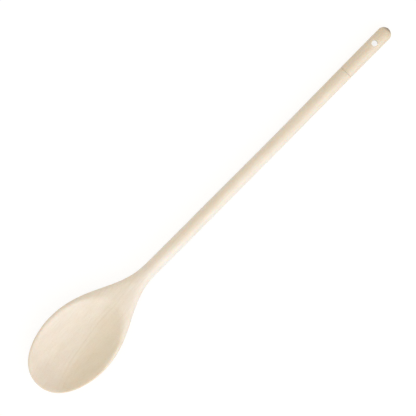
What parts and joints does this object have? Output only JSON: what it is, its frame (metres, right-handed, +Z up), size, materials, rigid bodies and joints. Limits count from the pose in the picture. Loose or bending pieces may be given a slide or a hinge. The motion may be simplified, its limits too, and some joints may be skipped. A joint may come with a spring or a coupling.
{
  "type": "wooden spoon",
  "caption": "Long wooden stirring spoon with an oval hollowed bowl, a slim round handle and a domed end with a hanging hole.",
  "frame": {"origin": "middle of the underside of the whole spoon's box, on the surface that it lies on", "axes": "+X along the spoon from the nose of the bowl to the end of the handle, +Y across the bowl, +Z up out of the hollow"},
  "size_m": [0.45, 0.0688, 0.0175],
  "materials": {
    "body_wood": "bare pale beech, sanded smooth, fine grain along the handle",
    "end_wood": "bare pale beech, sanded smooth, slightly darker end grain at the tip"
  },
  "bodies": {
    "root": {"spoon_body": "body_wood", "handle_end": "end_wood"}
  },
  "joints": []
}
